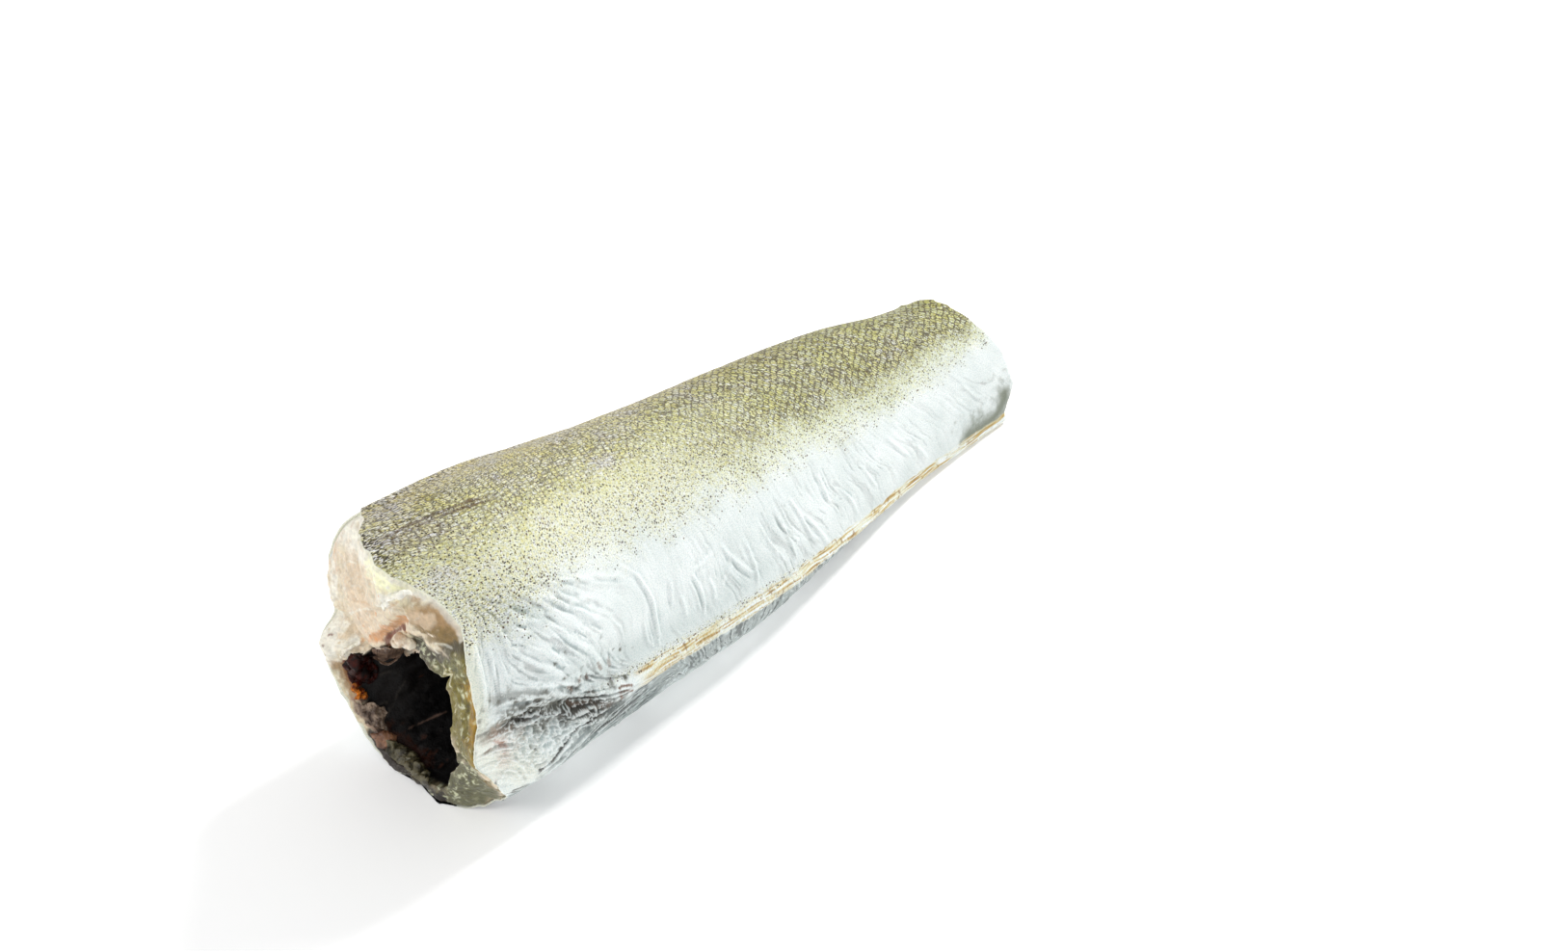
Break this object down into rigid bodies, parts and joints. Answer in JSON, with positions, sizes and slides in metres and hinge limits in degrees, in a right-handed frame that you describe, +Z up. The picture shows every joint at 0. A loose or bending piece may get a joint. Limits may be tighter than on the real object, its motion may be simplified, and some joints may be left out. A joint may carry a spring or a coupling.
{
  "type": "headed and gutted hake",
  "caption": "Hake trunk lying on its belly and side: head and tail cut away, gutted belly open at the head cut, wrinkled pale flank, speckled back.",
  "frame": {"origin": "middle of the bounding box's underside, on the surface the fish lies on", "axes": "+X along the trunk from the head cut to the tail cut, +Z up; the shown left flank faces -Y"},
  "size_m": [0.2432, 0.0706, 0.0785],
  "materials": {
    "skin": "wet satin fish skin: silver-white flank, gold-beige speckled back",
    "flesh": "moist raw cream-pink flesh at the cuts",
    "lining": "wet black lining of the gutted belly"
  },
  "bodies": {
    "root": {"hake": "skin"}
  },
  "joints": []
}
